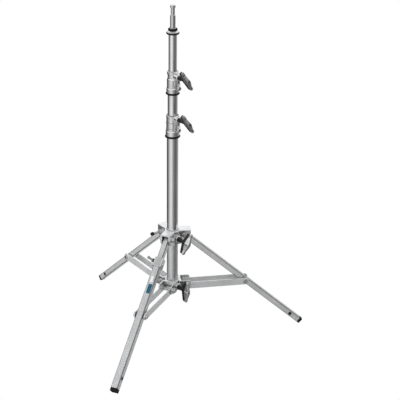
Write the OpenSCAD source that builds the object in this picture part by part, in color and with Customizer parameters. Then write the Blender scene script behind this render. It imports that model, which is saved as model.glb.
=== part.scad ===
// Telescopic lighting stand: three tube sections on a folding tripod with a levelling leg.
// Millimetres. The column stands on the Z axis, the floor is Z = 0, the levelling leg points along -Y.

/* [Tubes] */
// Outer radius of the column tube
column_r = 17.5; // [17.4:0.1:17.6]
// Outer radius of the middle tube
riser1_r = 15; // [14.9:0.1:15.1]
// Outer radius of the top tube
riser2_r = 12.5; // [12.4:0.1:12.6]
// Wall of the round tubes
wall = 1.5; // [1.3:0.1:1.6]
// Height of the lower end of the column above the floor
column_foot = 151; // [150:1:152]
// Height of the underside of the column collar
collar_b_z = 670; // [666:1:672]
// Height of the underside of the middle collar
collar_a_z = 806; // [804:1:808]
// Height of the upper end of the top tube
riser2_top = 985; // [980:1:990]

/* [Base] */
// Height of the leg pivots
pivot_z = 339; // [338:1:340]
// Distance of the leg and brace pivots from the column axis
pivot_r = 38; // [37.5:0.5:38.5]
// Angle of the open legs below the horizontal
leg_angle = 41; // [40.9:0.1:41.5]
// Height of the brace pivots
brace_z = 164; // [163:0.5:165]
// Distance along a leg from its pivot to the brace bolt
brace_at = 258.4; // [257:0.1:260]
// Length of the rubber foot at the end of a leg
foot_length = 10; // [8:1:14]
// Side of the square leg tube
leg_w = 18; // [17:0.5:18]
// Side of the square outer tube of the levelling leg
outer_w = 22; // [21.8:0.1:22.4]
// Wall of the square tubes
leg_wall = 1.4; // [1.2:0.1:1.4]

/* [Handles] */
// Half span of a T-handle between its end knobs
handle_half = 30; // [28:1:32]
// Distance from the column axis to the end knobs of a T-handle
handle_reach = 77; // [76:1:80]
// Azimuth of the clamp screws, between two legs
handle_az = -30; // [-33:1:-27]

/* [Hidden] */
$fn = 72;
azimuths = [30, 150, -90];
bolt_r = 4;
fit = 0.05;
hub_r = 24.5;
hub_low = 311;
hub_top = 358;
roof = 4;
bracket_reach = 18;
ear_in = 10.2;
ear_out = 16.4;
low_hub_low = 150;
low_hub_top = 184;
low_ear_in = 18.2;
low_ear_out = 22.2;
bar_in = 14.7;
bar_out = 17.7;
bar_h = 22;
column_top = collar_b_z + 46;
riser1_foot = 240;
riser1_top = collar_a_z + 40;
riser2_foot = 380;
inner_end = 212;
clamp_start = 68;
outer_start = 71;
level_at = 78;
knob_at = 45;
plug_back = 48;
front_plug_back = 44;
screw_a_z = collar_a_z + 53;
screw_b_z = collar_b_z + 58;
reach_a = handle_reach - 7;
lug_drop = 33;
screw_up_z = 334;
screw_low_z = 167;
joint_r = pivot_r + brace_at * cos(leg_angle);
joint_z = pivot_z - brace_at * sin(leg_angle);
bar_length = sqrt(pow(joint_r - pivot_r, 2) + pow(joint_z - brace_z, 2));
bar_tilt = atan2(joint_z - brace_z, joint_r - pivot_r);

// Distance along a leg of side w at which its lower edge meets the floor
function floor_end(w) = (pivot_z - w / 2 * cos(leg_angle)) / sin(leg_angle);

// ---------- shared shapes ----------

module tube(r, thick, low, high) {
    turned([[r - thick, low], [r, low], [r, high], [r - thick, high]]);
}

// Solid of revolution about Z from [radius, height] points
module turned(points) {
    rotate_extrude()
        polygon(points);
}

module rounded_square(w, r) {
    side = w - 2 * r;
    square([w, side], center = true);
    square([side, w], center = true);
    for (x = [-1, 1])
        for (y = [-1, 1])
            translate([x * side / 2, y * side / 2])
                circle(r = r, $fn = 32);
}

// Square bar along +X from a to b
module square_bar(w, r, a, b) {
    translate([a, 0, 0])
        rotate([90, 0, 90])
            linear_extrude(b - a)
                rounded_square(w, r);
}

module square_tube(w, a, b) {
    difference() {
        square_bar(w, 2.5, a, b);
        square_bar(w - 2 * leg_wall, 1.2, a - 1, b + 1);
    }
}

// Cylinder along X from low to high
module along_x(r, low, high) {
    translate([low, 0, 0])
        rotate([0, 90, 0])
            cylinder(r = r, h = high - low);
}

// Cylinder along Y from low to high
module along_y(r, low, high) {
    translate([0, low, 0])
        rotate([-90, 0, 0])
            cylinder(r = r, h = high - low);
}

module hex_along_y(across, low, high) {
    translate([0, low, 0])
        rotate([-90, 0, 0])
            cylinder(r = across / sqrt(3), h = high - low, $fn = 6);
}

// Plate in the YZ plane between two distances along X
module front_plate(points, low, high) {
    translate([low, 0, 0])
        rotate([90, 0, 90])
            linear_extrude(high - low)
                polygon(points);
}

// Plate in the XZ plane between two distances across
module side_plate(points, low, high) {
    translate([0, high, 0])
        rotate([90, 0, 0])
            linear_extrude(high - low)
                polygon(points);
}

// Frame of a leg: X runs down the leg from its pivot, Y is across it
module on_leg(i) {
    rotate([0, 0, azimuths[i]])
        translate([pivot_r, 0, pivot_z])
            rotate([0, leg_angle, 0])
                children();
}

// Frame of a bracket pivot: X points away from the column
module on_pivot(i, z) {
    rotate([0, 0, azimuths[i]])
        translate([pivot_r, 0, z])
            children();
}

// Frame of a clamp screw: X runs outwards along the screw
module on_screw(z) {
    rotate([0, 0, handle_az])
        translate([0, 0, z])
            children();
}

// Frame of the levelling screw: X runs outwards from the side of the front leg
module on_level_screw() {
    on_leg(2)
        translate([level_at, 0, 0])
            rotate([0, 0, -90])
                children();
}

// ---------- T-handle pieces, screw along +X ----------

module stud(tip, head) {
    color("silver") {
        along_x(bolt_r - fit, tip + 2, head);
        translate([tip, 0, 0])
            rotate([0, 90, 0])
                cylinder(r1 = 2.6, r2 = bolt_r - fit, h = 2);
    }
}

// Children stand at the end knobs of a T-handle, turned about its screw
module on_wing(reach, spin) {
    translate([reach, 0, 0])
        rotate([spin, 0, 0])
            children();
}

// Plastic stem round the stud, with a deep back plate along the wing
module stem(low, reach, spin) {
    h = handle_half;
    color("black")
        difference() {
            union() {
                along_x(6.5, low, low + 9);
                along_x(5.2, low, reach - 9);
                on_wing(reach, spin)
                    side_plate([
                        [-20, 0.2 * h], [-15, 0.7 * h], [-12, h], [-9, h + 3], [-3, h + 2], [-3, 0.8 * h], [-7, 0.3 * h],
                        [-7, -0.3 * h], [-3, -0.8 * h], [-3, -h - 2], [-9, -h - 3], [-12, -h], [-15, -0.7 * h],
                        [-20, -0.2 * h]
                    ], -3.8, 3.8);
            }
            along_x(bolt_r - fit, low - 1, reach);
        }
}

// Cast wing: two arms swept back from an outer apex, a knob at each end and a blind hole in the apex
module wing(reach, spin) {
    h = handle_half;
    color("gray")
        on_wing(reach, spin)
            difference() {
                union() {
                    intersection() {
                        side_plate([
                            [12, 0], [11, 0.2 * h], [5, 0.8 * h], [5, h], [-3, h], [-3, 0.8 * h], [-7, 0.3 * h],
                            [-7, -0.3 * h], [-3, -0.8 * h], [-3, -h], [5, -h], [5, -0.8 * h], [11, -0.2 * h]
                        ], -6, 6);
                        front_plate([
                            [5.2, 0], [3.8, 0.7 * h], [4.2, h], [-4.2, h], [-3.8, 0.7 * h],
                            [-5.2, 0], [-3.8, -0.7 * h], [-4.2, -h], [4.2, -h], [3.8, -0.7 * h]
                        ], -9, 13);
                    }
                    for (side = [-1, 1])
                        translate([-3, 0, side * h])
                            along_x(4.6, 0, 7);
                    along_x(6.2, -7, 10.5);
                }
                along_x(bolt_r - fit, -8, 2);
                along_x(2.2, 6, 14);
            }
}

// ---------- hubs ----------

module upper_hub() {
    color("silver")
        difference() {
            union() {
                turned([
                    [column_r + fit, hub_low], [hub_r - 2, hub_low], [hub_r, hub_low + 2],
                    [hub_r, hub_top - 2], [hub_r - 2, hub_top], [column_r + fit, hub_top]
                ]);
                for (i = [0:2])
                    on_pivot(i, pivot_z)
                        upper_bracket();
                on_screw(screw_up_z)
                    hollow_boss(11, column_r + 2, 34);
            }
            for (i = [0:2])
                on_pivot(i, pivot_z)
                    along_y(bolt_r, -30, 30);
            on_screw(screw_up_z)
                screw_bore(column_r, 36);
        }
}

module hollow_boss(r, low, high) {
    along_x(r, low, high - 1.5);
    translate([high - 1.5, 0, 0])
        rotate([0, 90, 0])
            cylinder(r1 = r, r2 = r - 1.5, h = 1.5);
}

// Bore for a stud, with a wider pocket for its pad at the tube
module screw_bore(inner, high) {
    along_x(bolt_r, inner - 1, high);
    along_x(5.1, inner - 1, inner + 4.6);
}

// Two ears under a roof, seen from the pivot
module upper_bracket() {
    for (side = [-1, 1])
        side_plate([
            [-19, hub_low - pivot_z], [-9, hub_low - pivot_z + 3], [-2, -18], [9, -17],
            [15, -10], [bracket_reach, 2], [bracket_reach, hub_top - pivot_z],
            [-19, hub_top - pivot_z]
        ], min(side * ear_in, side * ear_out), max(side * ear_in, side * ear_out));
    for (side = [-1, 1])
        along_y(9, side > 0 ? ear_out - 1 : -ear_out - 1, side > 0 ? ear_out + 1 : -ear_out + 1);
    side_plate([
        [-19, hub_top - roof - pivot_z], [bracket_reach, hub_top - roof - pivot_z],
        [bracket_reach, hub_top - pivot_z - 1], [bracket_reach - 1, hub_top - pivot_z],
        [-19, hub_top - pivot_z]
    ], -ear_in - 1, ear_in + 1);
}

module leg_pivot_bolts() {
    color("silver")
        for (i = [0:2])
            on_pivot(i, pivot_z) {
                far = i == 1 ? knob_at + 6 : 26;
                along_y(bolt_r - fit, -ear_out - 1, far);
                hex_along_y(13, -ear_out - 6.5, -ear_out - 1);
                hex_along_y(13, ear_out + 1, ear_out + 7.5);
            }
}

// Round grip on the long end of the left pivot bolt
module lock_knob() {
    color("black")
        on_pivot(1, pivot_z)
            difference() {
                union() {
                    along_y(4.9, knob_at, knob_at + 2);
                    along_y(5.6, knob_at + 2, knob_at + 8);
                    along_y(4.9, knob_at + 8, knob_at + 9);
                }
                along_y(bolt_r, knob_at - 1, knob_at + 6.2);
            }
}

module lower_hub() {
    color("silver")
        difference() {
            union() {
                turned([
                    [column_r + fit, low_hub_low], [hub_r - 2, low_hub_low],
                    [hub_r, low_hub_low + 2], [hub_r, low_hub_top - 2],
                    [hub_r - 2, low_hub_top], [column_r + fit, low_hub_top]
                ]);
                for (i = [0:2])
                    on_pivot(i, brace_z)
                        lower_bracket();
                on_screw(screw_low_z)
                    hollow_boss(11, column_r + 2, 35);
            }
            translate([0, 0, low_hub_low - 1])
                cylinder(r = column_r + fit, h = low_hub_top - low_hub_low + 2);
            for (i = [0:2])
                on_pivot(i, brace_z)
                    along_y(bolt_r, -30, 30);
            on_screw(screw_low_z)
                screw_bore(column_r, 37);
        }
}

// A cross block with an ear at each end, seen from the pivot
module lower_bracket() {
    low = low_hub_low - brace_z;
    high = low_hub_top - brace_z;
    translate([-18, -low_ear_out, low])
        cube([18 - bar_h / 2 - 0.5, 2 * low_ear_out, high - low]);
    for (side = [-1, 1])
        side_plate([
            [-16, low], [-3, low], [3, low + 1], [14, low + 6], [18, low + 12],
            [19, high - 6], [16, high], [-16, high]
        ], min(side * low_ear_in, side * low_ear_out), max(side * low_ear_in, side * low_ear_out));
}

module brace_pivot_bolts() {
    color("silver")
        for (i = [0:2])
            on_pivot(i, brace_z) {
                along_y(bolt_r - fit, -low_ear_out, low_ear_out + 9);
                hex_along_y(13, -low_ear_out - 5.5, -low_ear_out);
                hex_along_y(13, low_ear_out, low_ear_out + 6.5);
            }
}

// Pad that a stud presses against a tube of radius r
module pad(r, thick = 4) {
    color("white")
        along_x(5, r + 0.4, r + 0.4 + thick);
}

// ---------- legs and braces ----------

module leg_tube(i) {
    last = floor_end(leg_w) - foot_length;
    color("lightgray")
        on_leg(i)
            difference() {
                square_tube(leg_w, -8, last);
                along_y(bolt_r, -20, 20);
                translate([floor_end(leg_w) - plug_back, 0, 0])
                    along_y(4, -20, 20);
            }
}

// Top cap, round plugs near the foot and the spacers beside the brace bolt
module leg_fittings(w, top, back) {
    color("black") {
        if (top)
            top_cap();
        for (side = [-1, 1]) {
            translate([floor_end(w) - back, 0, 0])
                side_plug(w, side);
            translate([brace_at, 0, 0])
                along_y(6.5, side > 0 ? w / 2 : -bar_in + 0.3, side > 0 ? bar_in - 0.3 : -w / 2);
        }
    }
}

module top_cap() {
    square_bar(leg_w - 2 * leg_wall, 1.3, -8, -4);
    square_bar(leg_w, 2.5, -9.2, -8);
}

module side_plug(w, side) {
    along_y(3.9, side > 0 ? w / 2 - 3 : -w / 2, side > 0 ? w / 2 : -w / 2 + 3);
    along_y(5.4, side > 0 ? w / 2 : -w / 2 - 1, side > 0 ? w / 2 + 1 : -w / 2);
}

// Rubber foot: a shoe on the end of the tube and a stem inside it
module leg_foot(w) {
    color("black") {
        square_bar(w - 2 * leg_wall, 1.3, floor_end(w) - foot_length - 10, floor_end(w) - foot_length);
        square_bar(w, 2.5, floor_end(w) - foot_length, floor_end(w));
    }
}

module leg_front_inner() {
    color("lightgray")
        on_leg(2)
            difference() {
                square_tube(leg_w, -8, inner_end);
                along_y(bolt_r, -20, 20);
            }
}

module leg_front_outer() {
    last = floor_end(outer_w) - foot_length;
    color("lightgray")
        on_leg(2)
            difference() {
                square_tube(outer_w, outer_start, last);
                translate([floor_end(outer_w) - front_plug_back, 0, 0])
                    along_y(4, -20, 20);
                translate([level_at, 0, 0])
                    along_y(5.2, -20, 0);
            }
}

// Cast sleeve over the joint of the two front tubes, with a boss for the screw
module level_clamp() {
    color("silver")
        on_leg(2)
            difference() {
                union() {
                    square_bar(outer_w + 6, 4, clamp_start, clamp_start + 30);
                    translate([level_at, 0, 0])
                        along_y(8, -outer_w / 2 - 3.8, 0);
                    translate([level_at + 9, 0, 0])
                        along_y(6, 0, outer_w / 2 + 6);
                }
                square_bar(leg_w + 0.6, 2.6, clamp_start - 1, outer_start + 1);
                square_bar(outer_w, 2.5, outer_start, clamp_start + 31);
                translate([level_at, 0, 0]) {
                    along_y(bolt_r, -outer_w / 2 - 12, 0);
                    along_y(5.2, -outer_w / 2 - 1.4, 0);
                }
            }
}

module level_washer() {
    color("black")
        difference() {
            along_x(6.6, 15.2, 20.5);
            along_x(bolt_r - fit, 15, 21);
        }
}

// Thumb lever on the levelling screw, tilted off its axis
module level_lever() {
    color("gray")
        difference() {
            union() {
                along_x(6, 20.5, 25.5);
                translate([23, 0, 0])
                    rotate([0, -24, 0]) {
                        along_x(3.4, 0, 16);
                        along_x(4.4, 15, 20);
                    }
            }
            along_x(bolt_r - fit, 20, 24);
        }
}

module decals() {
    color("teal")
        on_leg(2) {
            translate([158, -4.5, outer_w / 2])
                cube([31, 12.5, 0.4]);
            translate([132, -3.5, outer_w / 2])
                cube([20, 7, 0.4]);
        }
}

module brace(i) {
    color("lightgray")
        on_pivot(i, brace_z)
            rotate([0, -bar_tilt, 0])
                for (side = [-1, 1])
                    brace_bar(side);
}

// Flat bar with round ends and a hole at each end
module brace_bar(side) {
    low = side > 0 ? bar_in : -bar_out;
    high = side > 0 ? bar_out : -bar_in;
    difference() {
        union() {
            translate([0, low, -bar_h / 2])
                cube([bar_length, high - low, bar_h]);
            for (x = [0, bar_length])
                translate([x, 0, 0])
                    along_y(bar_h / 2, low, high);
        }
        for (x = [0, bar_length])
            translate([x, 0, 0])
                along_y(bolt_r, low - 1, high + 1);
    }
}

module brace_bolts(i) {
    color("silver")
        on_pivot(i, brace_z)
            rotate([0, -bar_tilt, 0])
                translate([bar_length, 0, 0]) {
                    along_y(bolt_r - fit, bar_in, bar_out + 6);
                    hex_along_y(12, bar_out, bar_out + 5);
                    along_y(bolt_r - fit, -bar_out, -bar_in);
                    along_y(7, -bar_out - 3.5, -bar_out);
                }
}

// ---------- column and risers ----------

module column_plug() {
    color("black")
        turned([
            [6, column_foot - 2.8], [column_r - 1, column_foot - 2.8], [column_r - 1, column_foot - 0.3],
            [column_r - wall - fit, column_foot - 0.3], [column_r - wall - fit, column_foot + 19],
            [column_r - wall - 2, column_foot + 20], [6, column_foot + 20]
        ]);
}

// Guide in the foot of a riser, running in the tube of inner radius guide_r
module riser_bush(foot, guide_r, riser_r) {
    inner = riser_r - wall - fit;
    color("black")
        turned([
            [inner - 3, foot - 14], [guide_r - 1, foot - 14], [guide_r, foot - 13],
            [guide_r, foot - 0.3], [inner, foot - 0.3], [inner, foot + 14],
            [inner - 1, foot + 15], [inner - 3, foot + 15]
        ]);
}

// Bore, clamp block and screw bosses that both collars share; foot is the height of the collar
module collar(foot, points, tube_r, tube_top, bush_r, screw_z, riser_r) {
    low = screw_z - lug_drop;
    crest = foot + 64 - screw_z;
    color("silver")
        difference() {
            union() {
                translate([0, 0, foot])
                    turned(points);
                on_screw(screw_z) {
                    side_plate([
                        [riser_r + 1, crest], [22, crest], [30, 5], [30, -18], [34, 3 - lug_drop],
                        [34, -lug_drop - 5], [riser_r + 1, -lug_drop - 5]
                    ], -5.5, 5.5);
                    hollow_boss(9, riser_r + 1, 32);
                }
                on_screw(low)
                    hollow_boss(6.8, riser_r + 1, 36);
            }
            translate([0, 0, low - 40])
                cylinder(r = tube_r, h = tube_top - low + 40);
            translate([0, 0, tube_top - 1])
                cylinder(r = bush_r, h = 60);
            on_screw(screw_z)
                screw_bore(riser_r, 33);
            on_screw(low)
                along_x(2.6, tube_r - 1, 37);
        }
}

module collar_b() {
    collar(collar_b_z, [
        [10, 0], [20.4, 0], [21, 1.5], [21, 15], [19.6, 17], [19.6, 24], [19, 25], [19, 36],
        [19.6, 37], [19.6, 43], [18.9, 45], [18.9, 57], [19.6, 59], [19.6, 64], [19, 66], [10, 66]
    ], column_r, column_top, riser1_r + 1.6, screw_b_z, riser1_r);
}

module collar_a() {
    collar(collar_a_z, [
        [10, 0], [18.4, 0], [19, 1.5], [19, 13], [17.4, 16], [17.4, 40], [16.8, 42],
        [15.2, 46], [15.2, 55], [16.9, 58], [16.9, 66], [16, 67], [10, 67]
    ], riser1_r, riser1_top, riser2_r + 1.1, screw_a_z, riser2_r);
}

// Plastic sleeve in the mouth of a collar, with a window for the pad
module collar_bush(riser_r, outer, low, high, screw_z) {
    color("black")
        difference() {
            tube(outer, outer - riser_r - fit, low, high);
            on_screw(screw_z)
                along_x(5.1, riser_r - 2, outer + 2);
        }
}

// Rounded ring round a tube
module ring(tube_r, r, low, high) {
    color("black")
        turned([
            [tube_r, low], [r - 2, low], [r, low + 2], [r, high - 1.5], [r - 1.5, high], [tube_r, high]
        ]);
}

// 16 mm spigot with head, neck and shaft above a domed flange, and a stem in the tube
module spigot() {
    color("silver")
        translate([0, 0, riser2_top])
            turned([
                [0, -30], [riser2_r - wall, -30], [riser2_r - wall, 5], [17, 5], [17, 6],
                [14, 9], [13, 10], [9, 10], [9, 17], [8, 17], [8, 56],
                [6, 58], [6, 77], [8, 79], [8, 85], [7, 86], [0, 86]
            ]);
}

// ---------- nodes ----------

upper_hub();
leg_pivot_bolts();
on_screw(screw_up_z) pad(column_r);  // upper_pad
on_screw(screw_up_z) stud(22.2, handle_reach + 2);  // upper_handle_screw
on_screw(screw_up_z) stem(36.5, handle_reach, -29);  // upper_handle_base
on_screw(screw_up_z) wing(handle_reach, -29);  // upper_handle_wing
lock_knob();
leg_tube(0);  // leg_right_tube
on_leg(0) leg_fittings(leg_w, true, plug_back);  // leg_right_fittings
on_leg(0) leg_foot(leg_w);  // leg_right_foot
leg_tube(1);  // leg_left_tube
on_leg(1) leg_fittings(leg_w, true, plug_back);  // leg_left_fittings
on_leg(1) leg_foot(leg_w);  // leg_left_foot
leg_front_inner();
color("black") on_leg(2) top_cap();  // leg_front_cap
leg_front_outer();
on_leg(2) leg_fittings(outer_w, false, front_plug_back);  // leg_front_fittings
on_leg(2) leg_foot(outer_w);  // leg_front_foot
level_clamp();
on_level_screw() pad(leg_w / 2, 2.6);  // level_pad
on_level_screw() stud(leg_w / 2 + 3.4, 24);  // level_handle_screw
on_level_screw() level_washer();  // level_handle_base
on_level_screw() rotate([90, 0, 0]) level_lever();
decals();
lower_hub();
brace_pivot_bolts();
on_screw(screw_low_z) pad(column_r);  // lower_pad
on_screw(screw_low_z) stud(22.2, handle_reach + 2);  // lower_handle_screw
on_screw(screw_low_z) stem(37.5, handle_reach, -6);  // lower_handle_base
on_screw(screw_low_z) wing(handle_reach, -6);  // lower_handle_wing
brace(0);  // brace_right
brace(1);  // brace_left
brace(2);  // brace_front
brace_bolts(0);  // brace_right_bolts
brace_bolts(1);  // brace_left_bolts
brace_bolts(2);  // brace_front_bolts
column_plug();
color("silver") tube(column_r, wall, column_foot, column_top);  // column_tube
collar_b();
ring(column_r, 23.5, collar_b_z - 5, collar_b_z);  // collar_b_ring
collar_bush(riser1_r, riser1_r + 1.6, column_top, collar_b_z + 66, screw_b_z);  // collar_b_bush
on_screw(screw_b_z) pad(riser1_r);  // collar_b_pad
on_screw(screw_b_z) stud(riser1_r + 4.7, handle_reach + 2);  // handle_b_screw
on_screw(screw_b_z) stem(34, handle_reach, 32);  // handle_b_base
on_screw(screw_b_z) wing(handle_reach, 32);  // handle_b_wing
riser_bush(riser1_foot, column_r - wall - fit, riser1_r);  // riser_1_bush
color("silver") tube(riser1_r, wall, riser1_foot, riser1_top);  // riser_1_tube
collar_a();
ring(riser1_r, 21, collar_a_z - 5, collar_a_z);  // collar_a_ring
collar_bush(riser2_r, riser2_r + 1.1, riser1_top, collar_a_z + 67, screw_a_z);  // collar_a_bush
on_screw(screw_a_z) pad(riser2_r);  // collar_a_pad
on_screw(screw_a_z) stud(riser2_r + 4.7, reach_a + 2);  // handle_a_screw
on_screw(screw_a_z) stem(34, reach_a, 31);  // handle_a_base
on_screw(screw_a_z) wing(reach_a, 31);  // handle_a_wing
riser_bush(riser2_foot, riser1_r - wall - fit, riser2_r);  // riser_2_bush
color("silver") tube(riser2_r, wall, riser2_foot, riser2_top);  // riser_2_tube
ring(riser2_r - wall, 19.5, riser2_top, riser2_top + 5);  // top_ring
ring(9, 14, riser2_top + 10, riser2_top + 17);  // spigot_ring
spigot();
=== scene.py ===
"""Looks of the lighting stand: finishes, cast shapes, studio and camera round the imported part."""

from math import cos, pi, radians, sin

import bmesh
import bpy
from mathutils import Matrix, Vector

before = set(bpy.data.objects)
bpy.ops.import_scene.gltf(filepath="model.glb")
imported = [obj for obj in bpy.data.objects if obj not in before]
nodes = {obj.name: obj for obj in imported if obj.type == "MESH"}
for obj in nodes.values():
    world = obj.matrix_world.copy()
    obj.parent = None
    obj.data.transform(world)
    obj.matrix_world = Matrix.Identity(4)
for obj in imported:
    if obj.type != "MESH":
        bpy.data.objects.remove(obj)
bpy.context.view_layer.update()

# ---------- places taken from the CAD part ----------

LEG_AZIMUTHS = {"right": 30, "left": 150, "front": -90}
LEG_ANGLE = radians(41)
PIVOT_RADIUS = 0.038
PIVOT_HEIGHT = 0.339


def leg_turn(side):
    """Euler angles that carry +X down the leg on that side."""
    return (0, LEG_ANGLE, radians(LEG_AZIMUTHS[side]))


def leg_pivot(side):
    """Middle of the bolt at the top of that leg."""
    azimuth = radians(LEG_AZIMUTHS[side])
    return (PIVOT_RADIUS * cos(azimuth), PIVOT_RADIUS * sin(azimuth), PIVOT_HEIGHT)


# ---------- finishes ----------


class Nodes:
    """A node tree. Its methods return sockets, so a tree reads like a sum."""

    def __init__(self, tree):
        self.tree = tree

    def put(self, socket, value):
        if isinstance(value, bpy.types.NodeSocket):
            self.tree.links.new(value, socket)
        else:
            socket.default_value = value

    def make(self, kind, inputs, **settings):
        made = self.tree.nodes.new("ShaderNode" + kind)
        for name, value in settings.items():
            setattr(made, name, value)
        for key, value in inputs.items():
            self.put(made.inputs[key], value)
        return made

    def span(self, value, low, high, first=0.0, last=1.0, **settings):
        """`value` going from `low` to `high`, made to go from `first` to `last`."""
        inputs = {"Value": value, "From Min": low, "From Max": high, "To Min": first, "To Max": last}
        return self.make("MapRange", inputs, **settings).outputs["Result"]

    def maths(self, operation, first, second=0.0):
        return self.make("Math", {0: first, 1: second}, operation=operation).outputs[0]

    def blend(self, amount, first, second):
        """Colour `first` at amount 0 and colour `second` at amount 1."""
        mix = self.tree.nodes.new("ShaderNodeMix")
        mix.data_type = "RGBA"
        factor, colour_a, colour_b = mix.inputs[0], mix.inputs[6], mix.inputs[7]
        self.put(factor, amount)
        self.put(colour_a, first)
        self.put(colour_b, second)
        return mix.outputs[2]

    def ramp(self, value, colours, interpolation="LINEAR"):
        """Colours by position from 0 to 1."""
        made = self.make("ValToRGB", {"Fac": value})
        made.color_ramp.interpolation = interpolation
        stops = made.color_ramp.elements
        stops.remove(stops[1])
        for position, colour in colours.items():
            stops.new(position).color = colour
        stops.remove(stops[0])
        return made.outputs["Color"]


class Finish(Nodes):
    """One node material, built round its Principled shader."""

    def __init__(self, name):
        self.material = bpy.data.materials.new(name)
        self.material.use_nodes = True
        super().__init__(self.material.node_tree)
        self.shader = self.tree.nodes["Principled BSDF"]

    def place(self, size=(1, 1, 1), turn=(0, 0, 0), at=(0, 0, 0)):
        """Metres from `at`, along axes turned by `turn`, counted in units of `size`."""
        coords = self.make("TexCoord", {}).outputs["Object"]
        inputs = {"Vector": coords, "Location": at, "Rotation": turn, "Scale": size}
        return self.make("Mapping", inputs, vector_type="TEXTURE").outputs["Vector"]

    def noise(self, where, detail=4, roughness=0.55):
        inputs = {"Vector": where, "Scale": 1, "Detail": detail, "Roughness": roughness}
        return self.make("TexNoise", inputs).outputs["Fac"]

    def edges(self, radius):
        """1 along the outer and inner edges, 0 on the open faces."""
        round_normal = self.make("Bevel", {"Radius": radius}, samples=6).outputs["Normal"]
        normal = self.make("NewGeometry", {}).outputs["Normal"]
        inputs = {0: round_normal, 1: normal}
        likeness = self.make("VectorMath", inputs, operation="DOT_PRODUCT").outputs["Value"]
        return self.span(likeness, 0.995, 0.86)

    def corners(self, turn):
        """1 on the rounded corners of a square tube that lies along the turned X axis, 0 on its flats."""
        normal = self.make("TexCoord", {}).outputs["Normal"]
        inputs = {"Vector": normal, "Rotation": turn}
        turned = self.make("Mapping", inputs, vector_type="TEXTURE").outputs["Vector"]
        parts = self.make("SeparateXYZ", {"Vector": turned})
        product = self.maths("MULTIPLY", parts.outputs["Y"], parts.outputs["Z"])
        return self.span(self.maths("ABSOLUTE", product), 0.03, 0.20)

    def crevices(self, distance):
        """1 deep in corners and slots, 0 in the open, by ambient occlusion: it places painted shade on the
        metals and dust on the plastics.
        """
        ao = self.make("AmbientOcclusion", {"Distance": distance}, samples=6).outputs["AO"]
        return self.span(ao, 0.75, 0.25)

    def bump(self, height, distance, strength=1.0):
        inputs = {"Height": height, "Distance": distance, "Strength": strength}
        self.put(self.shader.inputs["Normal"], self.make("Bump", inputs).outputs["Normal"])

    def finish(self, colour, roughness, metal):
        self.put(self.shader.inputs["Base Color"], colour)
        self.put(self.shader.inputs["Roughness"], roughness)
        self.shader.inputs["Metallic"].default_value = metal
        return self.material


def grey(level, warmth=0.0):
    return (level + warmth, level, level - warmth, 1)


# Size of the drawing marks in metres: along Z on round tubes, along the turned X on square ones
TUBE_GRAIN = (0.0012, 0.0012, 0.25)
BAR_GRAIN = (0.25, 0.0010, 0.0010)


def drawn_steel(
    name, level, roughness, turn=(0, 0, 0), grain=TUBE_GRAIN, metal=1.0, rubbed_below=None, square=False
):
    """Plated tube or bar: streaks along it, soft blotches and fine scratches.

    It is duller below the height `rubbed_below`, and a square tube has painted shade, near black, on its
    rounded corners."""
    f = Finish(name)
    streaks = f.noise(f.place(grain, turn), detail=3)
    blotches = f.noise(f.place((0.035, 0.035, 0.06), turn), detail=5)
    scratches = f.noise(f.place(tuple(g * 0.35 for g in grain), turn), detail=2, roughness=0.7)
    scratches = f.span(scratches, 0.62, 0.72)
    colour = f.blend(f.span(blotches, 0.3, 0.7), grey(level * 0.86, -0.004), grey(level, -0.002))
    colour = f.blend(f.maths("MULTIPLY", scratches, 0.2), colour, grey(level * 1.1))
    if square:
        # Painted shade: the rounded corners of a square tube are coloured near black.
        colour = f.blend(f.maths("MULTIPLY", f.corners(turn), 0.85), colour, grey(level * 0.12))
    shine = f.maths("ADD", f.span(streaks, 0.3, 0.7, 0, 0.03), f.span(blotches, 0.35, 0.7, 0, 0.05))
    shine = f.maths("ADD", shine, f.maths("MULTIPLY", scratches, 0.05))
    if rubbed_below is not None:
        height = f.make("SeparateXYZ", {"Vector": f.place()}).outputs["Z"]
        shine = f.maths("ADD", shine, f.span(height, rubbed_below, rubbed_below - 0.02, 0, 0.22))
    f.bump(streaks, 0.00001, 0.5)
    return f.finish(colour, f.maths("ADD", shine, roughness), metal)


def cast_metal(name, level, roughness, grain=0.0011, depth=0.0001, metal=0.97):
    """Tumbled casting: fine sand grain, worn bright edges, and painted shade that darkens its corners and
    slots.
    """
    f = Finish(name)
    sand = f.noise(f.place((grain,) * 3), detail=3)
    blotches = f.noise(f.place((0.012,) * 3), detail=4)
    colour = f.blend(f.span(blotches, 0.3, 0.7), grey(level * 0.82), grey(level))
    # Painted shade: deep in corners and slots the colour goes near black, by ambient occlusion.
    colour = f.blend(f.maths("MULTIPLY", f.crevices(0.018), 0.9), colour, grey(level * 0.2, 0.004))
    worn = f.maths("MULTIPLY", f.edges(0.0012), f.span(blotches, 0.3, 0.6, 0.3, 0.9))
    colour = f.blend(worn, colour, grey(min(level * 1.35, 0.93)))
    shine = f.maths("ADD", f.span(sand, 0.3, 0.7, -0.05, 0.06), roughness)
    shine = f.maths("SUBTRACT", shine, f.maths("MULTIPLY", worn, 0.12))
    f.bump(sand, depth)
    return f.finish(colour, shine, metal)


def moulded(name, level, roughness, grain=0.0007, dust=0.1):
    """Dark moulded plastic or rubber: fine pits, scuffed edges and a little dust in its corners."""
    f = Finish(name)
    pits = f.noise(f.place((grain,) * 3), detail=2)
    patches = f.noise(f.place((0.01,) * 3), detail=5)
    colour = f.blend(f.span(patches, 0.3, 0.7), grey(level * 0.7), grey(level * 1.25))
    colour = f.blend(f.maths("MULTIPLY", f.edges(0.0008), 0.35), colour, grey(level * 3 + 0.005))
    colour = f.blend(f.maths("MULTIPLY", f.crevices(0.008), dust), colour, grey(0.10, 0.008))
    shine = f.maths("ADD", f.span(patches, 0.3, 0.7, -0.06, 0.08), roughness)
    f.bump(pits, 0.00008)
    f.shader.inputs["Specular IOR Level"].default_value = 0.2
    return f.finish(colour, shine, 0.0)


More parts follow.
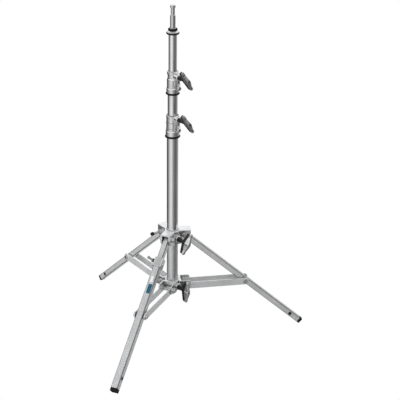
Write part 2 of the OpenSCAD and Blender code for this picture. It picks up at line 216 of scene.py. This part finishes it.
def zinc(name, level, roughness):
    """Zinc plate: soft crystalline mottling, brighter edges, and painted shade in its corners and slots."""
    f = Finish(name)
    flakes = f.make("TexVoronoi", {"Vector": f.place((0.0022,) * 3), "Scale": 1}).outputs["Distance"]
    patches = f.noise(f.place((0.006,) * 3), detail=4)
    colour = f.blend(f.span(patches, 0.3, 0.7), grey(level * 0.8, 0.008), grey(level, -0.006))
    colour = f.blend(f.maths("MULTIPLY", f.edges(0.0007), 0.6), colour, grey(0.86))
    # Painted shade: corners and slots are coloured darker, by ambient occlusion.
    colour = f.blend(f.maths("MULTIPLY", f.crevices(0.006), 0.7), colour, grey(level * 0.3))
    shine = f.maths("ADD", f.span(flakes, 0.0, 0.8, -0.05, 0.07), roughness)
    f.bump(patches, 0.00005)
    return f.finish(colour, shine, 1.0)


def nylon(name):
    """Off-white nylon with faint cloudy patches."""
    f = Finish(name)
    patches = f.noise(f.place((0.003,) * 3), detail=4)
    colour = f.blend(f.span(patches, 0.3, 0.7), (0.70, 0.68, 0.62, 1), (0.80, 0.79, 0.74, 1))
    f.bump(patches, 0.00005)
    f.shader.inputs["Subsurface Weight"].default_value = 0.15
    f.shader.inputs["Subsurface Radius"].default_value = (0.002, 0.002, 0.002)
    return f.finish(colour, f.span(patches, 0.3, 0.7, 0.35, 0.5), 0.0)


def sticker(name):
    """Printed vinyl on the front leg: a blue strip with a teal rim, and a pale label above it."""
    # Metres from the leg's top bolt, along the leg and across it
    strip_middle = 0.00175
    strip_start = 0.155
    print_start = 0.159
    print_end = 0.188
    print_half_width = 0.0053
    blur = 0.0002
    f = Finish(name)
    where = f.place((1, 1, 1), leg_turn("front"), leg_pivot("front"))
    parts = f.make("SeparateXYZ", {"Vector": where})
    along = parts.outputs["X"]
    across = f.maths("ABSOLUTE", f.maths("SUBTRACT", parts.outputs["Y"], strip_middle))
    on_strip = f.span(along, strip_start - blur / 2, strip_start + blur / 2)
    past_start = f.span(along, print_start - blur, print_start)
    before_end = f.span(along, print_end + blur, print_end)
    off_rim = f.maths("MULTIPLY", past_start, before_end)
    off_rim = f.maths("MULTIPLY", off_rim, f.span(across, print_half_width + blur, print_half_width))
    wear = f.noise(f.place((0.0012,) * 3), detail=5)
    blue = f.blend(f.span(wear, 0.3, 0.7), (0.004, 0.045, 0.07, 1), (0.006, 0.065, 0.10, 1))
    strip = f.blend(off_rim, (0.02, 0.16, 0.22, 1), blue)
    label = f.blend(f.span(wear, 0.3, 0.7), (0.52, 0.52, 0.50, 1), (0.66, 0.66, 0.64, 1))
    colour = f.blend(on_strip, label, strip)
    colour = f.blend(f.span(wear, 0.70, 0.76), colour, grey(0.5))
    f.bump(wear, 0.00003)
    return f.finish(colour, f.span(wear, 0.3, 0.7, 0.28, 0.42), 0.0)


def paint(material, *names):
    """Gives the material to CAD nodes, in place of what they came with."""
    for name in names:
        mesh = nodes[name].data
        mesh.materials.clear()
        mesh.materials.append(material)


paint(drawn_steel("chrome_column", 0.80, 0.18, rubbed_below=0.33), "column_tube")
paint(drawn_steel("chrome_riser", 0.86, 0.12), "riser_1_tube", "riser_2_tube")
paint(drawn_steel("chrome_spigot", 0.74, 0.16, grain=(0.02, 0.02, 0.0006)), "spigot")
# Each side's leg and brace get their own metallic value, which sets how light or dark they look under the
# lamps: painted light and shade, as the real legs share one plating.
for side, metal, leg_names in (
    ("right", 0.80, ("leg_right_tube",)),
    ("left", 0.58, ("leg_left_tube",)),
    ("front", 0.90, ("leg_front_inner", "leg_front_outer")),
):
    brace_turn = (0, 0, radians(LEG_AZIMUTHS[side]))
    leg_steel = drawn_steel(f"satin_leg_{side}", 0.76, 0.30, leg_turn(side), BAR_GRAIN, metal, square=True)
    brace_steel = drawn_steel(f"satin_brace_{side}", 0.76, 0.30, brace_turn, BAR_GRAIN, metal)
    paint(leg_steel, *leg_names)
    paint(brace_steel, "brace_" + side)
paint(cast_metal("cast_alloy", 0.76, 0.20), "upper_hub", "lower_hub", "collar_a", "collar_b", "level_clamp")
paint(cast_metal("handle_alloy_light", 0.72, 0.32, grain=0.0008), "upper_handle_wing", "lower_handle_wing")
paint(cast_metal("handle_alloy", 0.40, 0.34, grain=0.0008), "handle_a_wing", "handle_b_wing", "level_lever")
paint(
    moulded("black_plastic", 0.012, 0.40),
    "upper_handle_base", "lower_handle_base", "handle_a_base", "handle_b_base",
    "level_handle_base", "lock_knob",
    "leg_right_fittings", "leg_left_fittings", "leg_front_fittings", "leg_front_cap",
    "column_plug", "riser_1_bush", "riser_2_bush", "collar_a_bush", "collar_b_bush",
)
paint(
    moulded("black_rubber", 0.004, 0.62, grain=0.0012, dust=0.04),
    "leg_right_foot", "leg_left_foot", "leg_front_foot",
    "collar_a_ring", "collar_b_ring", "top_ring", "spigot_ring",
)
paint(
    zinc("zinc_fastener", 0.60, 0.28),
    "leg_pivot_bolts", "brace_pivot_bolts", "brace_right_bolts", "brace_left_bolts",
    "brace_front_bolts", "upper_handle_screw", "lower_handle_screw", "handle_a_screw",
    "handle_b_screw", "level_handle_screw",
)
paint(nylon("nylon_pad"), "upper_pad", "lower_pad", "collar_a_pad", "collar_b_pad", "level_pad")
paint(sticker("decal"), "decals")

# ---------- shapes ----------


def as_casting(name, voxel, passes):
    """Softens the sharp CAD edges of a casting into fillets a few voxels wide."""
    piece = nodes[name]
    remesh = piece.modifiers.new("voxels", "REMESH")
    remesh.mode = "VOXEL"
    remesh.voxel_size = voxel
    remesh.use_smooth_shade = True
    smooth = piece.modifiers.new("fillets", "SMOOTH")
    smooth.factor = 0.5
    smooth.iterations = passes


for name in ("upper_hub", "lower_hub", "collar_a", "collar_b", "level_clamp"):
    as_casting(name, 0.0009, 6)
for name in ("upper_handle_wing", "lower_handle_wing", "handle_a_wing", "handle_b_wing", "level_lever"):
    as_casting(name, 0.0006, 8)

# ---------- studio ----------

# Brightness of the studio walls by compass direction in degrees
STUDIO = {
    -180: 0.10, -165: 0.20, -150: 0.38, -130: 0.68, -112: 0.90, -95: 1.05, -82: 0.98, -70: 0.62,
    -58: 0.48, -45: 0.28, -28: 0.17, -8: 0.14, 12: 0.15, 32: 0.24, 60: 0.44, 85: 0.80, 105: 0.40,
    125: 0.06, 160: 0.06, 180: 0.10,
}
# Brightness of the studio above the walls by height of the direction, 0 at the horizon and 1 overhead
CEILING = {0.30: 1.30, 0.60: 1.10, 0.82: 0.62, 1.0: 0.44}
STAND_MIDDLE = Vector((0, 0, 0.5))


def studio_walls():
    """White to the camera; for reflections and light, soft walls with a dark side and a dark horizon."""
    world = bpy.data.worlds.new("studio")
    bpy.context.scene.world = world
    world.use_nodes = True
    n = Nodes(world.node_tree)
    direction = n.make("TexCoord", {}).outputs["Generated"]
    parts = n.make("SeparateXYZ", {"Vector": direction})
    height = parts.outputs["Z"]
    compass = n.span(n.maths("ARCTAN2", parts.outputs["Y"], parts.outputs["X"]), -pi, pi)
    walls = n.ramp(
        compass,
        {(degrees + 180) / 360: (level, level, level * 1.01, 1) for degrees, level in STUDIO.items()},
        "B_SPLINE",
    )
    ceiling = n.ramp(
        height,
        {position: (level, level * 1.01, level * 1.02, 1) for position, level in CEILING.items()},
    )
    horizon = n.span(n.maths("ABSOLUTE", height), 0.05, 0.20, 0.35, 1.0)
    walls = n.make("VectorMath", {0: walls, "Scale": horizon}, operation="SCALE").outputs[0]
    rise = n.span(height, 0.05, 0.30, interpolation_type="SMOOTHSTEP")
    room = n.tree.nodes["Background"]
    n.put(room.inputs["Color"], n.blend(rise, walls, ceiling))
    backdrop = n.make("Background", {"Color": (1, 1, 1, 1)})
    seen = n.make("LightPath", {}).outputs["Is Camera Ray"]
    choice = n.make("MixShader", {0: seen, 1: room.outputs[0], 2: backdrop.outputs[0]})
    n.put(n.tree.nodes["World Output"].inputs["Surface"], choice.outputs[0])


def softbox(name, azimuth, elevation, distance, size, watts):
    """Square area light aimed at the middle of the stand, from angles in degrees."""
    light = bpy.data.lights.new(name, "AREA")
    light.size = size
    light.energy = watts
    lamp = bpy.data.objects.new(name, light)
    lamp.visible_glossy = False
    bpy.context.collection.objects.link(lamp)
    a, e = radians(azimuth), radians(elevation)
    away = Vector((cos(a) * cos(e), sin(a) * cos(e), sin(e)))
    lamp.location = STAND_MIDDLE + away * distance
    lamp.rotation_euler = away.to_track_quat("Z", "Y").to_euler()


def pale_floor():
    """Large pale sheet just under the feet."""
    mesh = bpy.data.meshes.new("floor")
    b = bmesh.new()
    bmesh.ops.create_grid(b, x_segments=8, y_segments=8, size=25)
    b.to_mesh(mesh)
    b.free()
    floor = bpy.data.objects.new("floor", mesh)
    bpy.context.collection.objects.link(floor)
    floor.location.z = -0.0005
    f = Finish("floor")
    paper = f.noise(f.place((0.4,) * 3), detail=2)
    colour = f.blend(paper, grey(0.38), grey(0.39))
    f.shader.inputs["Specular IOR Level"].default_value = 0
    f.put(f.shader.inputs["Emission Color"], f.blend(paper, grey(0.90), grey(0.92)))
    f.shader.inputs["Emission Strength"].default_value = 0.77
    mesh.materials.append(f.finish(colour, 0.9, 0.0))
    # Folded or stretched legs reach below z = 0, so the floor lights them without hiding them
    floor.visible_glossy = False
    floor.visible_camera = False


def camera(place, azimuth, down, roll, focal_length):
    """Camera turned `azimuth` from looking along +Y, tilted `down` and rolled, all in degrees."""
    lens = bpy.data.cameras.new("camera")
    lens.lens = focal_length
    eye = bpy.data.objects.new("camera", lens)
    bpy.context.collection.objects.link(eye)
    eye.matrix_world = (
        Matrix.Translation(place)
        @ Matrix.Rotation(radians(azimuth), 4, "Z")
        @ Matrix.Rotation(radians(90 - down), 4, "X")
        @ Matrix.Rotation(radians(roll), 4, "Z")
    )
    bpy.context.scene.camera = eye


studio_walls()
softbox("key", azimuth=-140, elevation=32, distance=3.0, size=1.6, watts=54)
softbox("fill", azimuth=-35, elevation=30, distance=3.2, size=2.0, watts=26)
softbox("top", azimuth=60, elevation=70, distance=3.4, size=2.4, watts=32)
pale_floor()
camera((1.386, -3.098, 1.982), azimuth=22.67, down=24.20, roll=0.71, focal_length=108.6)
bpy.context.scene.view_settings.view_transform = "Standard"
